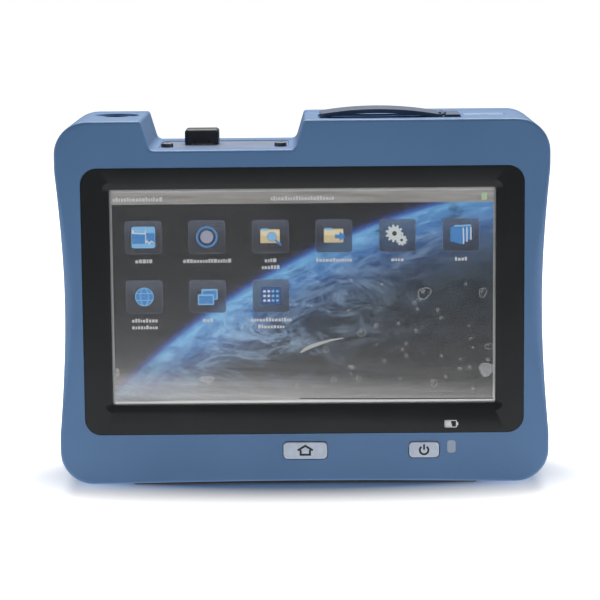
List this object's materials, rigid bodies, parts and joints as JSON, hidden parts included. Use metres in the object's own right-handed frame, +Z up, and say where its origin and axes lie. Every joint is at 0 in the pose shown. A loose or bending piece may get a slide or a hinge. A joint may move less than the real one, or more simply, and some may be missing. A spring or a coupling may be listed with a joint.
{
  "type": "handheld optical time domain reflectometer",
  "caption": "Blue handheld fibre tester with touch screen, home and power keys, optical port under a flip cap, rubber socket flap, stylus, folding stand and rubber feet.",
  "frame": {"origin": "middle of the body's width and depth, on the plane that the two rubber feet stand on", "axes": "+X to the right of the person who reads the screen, +Y from the screen to the back, +Z up"},
  "size_m": [0.1996, 0.068, 0.1546],
  "materials": {
    "blue_housing": "satin moulded polycarbonate blend, blue",
    "blue_rubber": "soft moulded elastomer, dark blue",
    "stylus_blue": "satin moulded plastic, light blue",
    "black_plastic": "fine-grained moulded plastic, black",
    "black_bezel": "printed film frame, black, satin gloss",
    "black_rubber": "moulded rubber, black",
    "silver_key": "pad-printed plastic, silver blue",
    "smoke_plastic": "translucent light guide, grey",
    "screen_glass": "touch glass, clear",
    "clear_film": "clear protective film",
    "display": "lit display panel",
    "steel_sheet": "zinc-plated steel sheet",
    "nickel": "nickel plate, bright",
    "steel_screw": "plated steel fasteners",
    "blued_plate": "blue-grey anodised aluminium plate",
    "cream_plastic": "cream insulating plastic",
    "zirconia": "polished zirconia",
    "green_board": "green solder-masked laminate",
    "socket_shell": "tinned drawn shell",
    "battery_wrap": "black moulded battery case"
  },
  "bodies": {
    "case": {"front_shell": "blue_housing", "rear_shell": "blue_housing", "case_seal": "black_rubber", "bezel": "black_bezel", "touch_panel": "screen_glass", "screen_film": "clear_film", "lcd_module": "display", "display_bracket": "steel_sheet", "status_light": "smoke_plastic", "home_switch": "black_plastic", "power_switch": "black_plastic", "keypad_board": "green_board", "main_board": "green_board", "shield_can": "steel_sheet", "socket_board": "green_board", "socket_panel": "black_plastic", "network_socket": "black_plastic", "usb_socket_front": "socket_shell", "usb_socket_rear": "socket_shell", "power_inlet": "black_plastic", "inlet_pin": "nickel", "optical_module": "black_plastic", "port_plate": "blued_plate", "plate_screw_left": "nickel", "plate_screw_right": "nickel", "port_block": "nickel", "insulating_ring": "cream_plastic", "ferrule_sleeve": "nickel", "ferrule": "zirconia", "hook_left": "nickel", "hook_right": "nickel", "cap_bracket": "black_plastic", "cap_pin": "steel_screw", "flap_anchor": "blue_rubber", "flap_pin": "steel_screw", "stylus_tube": "black_plastic", "stand_pin_left": "steel_screw", "stand_pin_right": "steel_screw", "battery_pack": "battery_wrap", "battery_door": "black_plastic", "door_screw_left": "steel_screw", "door_screw_right": "steel_screw", "foot_front": "black_rubber", "foot_rear": "black_rubber", "rear_strip_left": "black_rubber", "rear_strip_right": "black_rubber", "speaker": "black_plastic", "case_screw_upper_left": "steel_screw", "case_screw_upper_right": "steel_screw", "case_screw_lower_left": "steel_screw", "case_screw_lower_right": "steel_screw"},
    "home_key": {"home_button": "silver_key"},
    "power_key": {"power_button": "silver_key"},
    "dust_cap": {"port_cap": "black_plastic"},
    "socket_flap": {"flap": "blue_rubber"},
    "stylus": {"stylus_head": "stylus_blue", "stylus_barrel": "black_plastic", "stylus_tip": "black_rubber"},
    "stand_leaf": {"stand": "black_plastic", "stand_pad": "black_rubber"}
  },
  "joints": [
    {"name": "home_press", "type": "slide", "parent": "case", "child": "home_key", "axis": [0, 1, 0], "range_m": [0, 0.0008], "stiffness_N_per_m": 2000},
    {"name": "power_press", "type": "slide", "parent": "case", "child": "power_key", "axis": [0, 1, 0], "range_m": [0, 0.0008], "stiffness_N_per_m": 2000},
    {"name": "cap_hinge", "type": "hinge", "parent": "case", "child": "dust_cap", "pos_m": [-0.0415, 0.0105, 0.141], "axis": [-1, 0, 0], "range_deg": [0, 110]},
    {"name": "flap_hinge", "type": "hinge", "parent": "case", "child": "socket_flap", "pos_m": [0.0573, -0.0133, 0.1513], "axis": [0, 1, 0], "range_deg": [0, 95]},
    {"name": "stylus_slide", "type": "slide", "parent": "case", "child": "stylus", "axis": [0, 0, 1], "range_m": [0, 0.106]},
    {"name": "stand_hinge", "type": "hinge", "parent": "case", "child": "stand_leaf", "pos_m": [0, 0.0302, 0.0957], "axis": [1, 0, 0], "range_deg": [0, 50]}
  ]
}
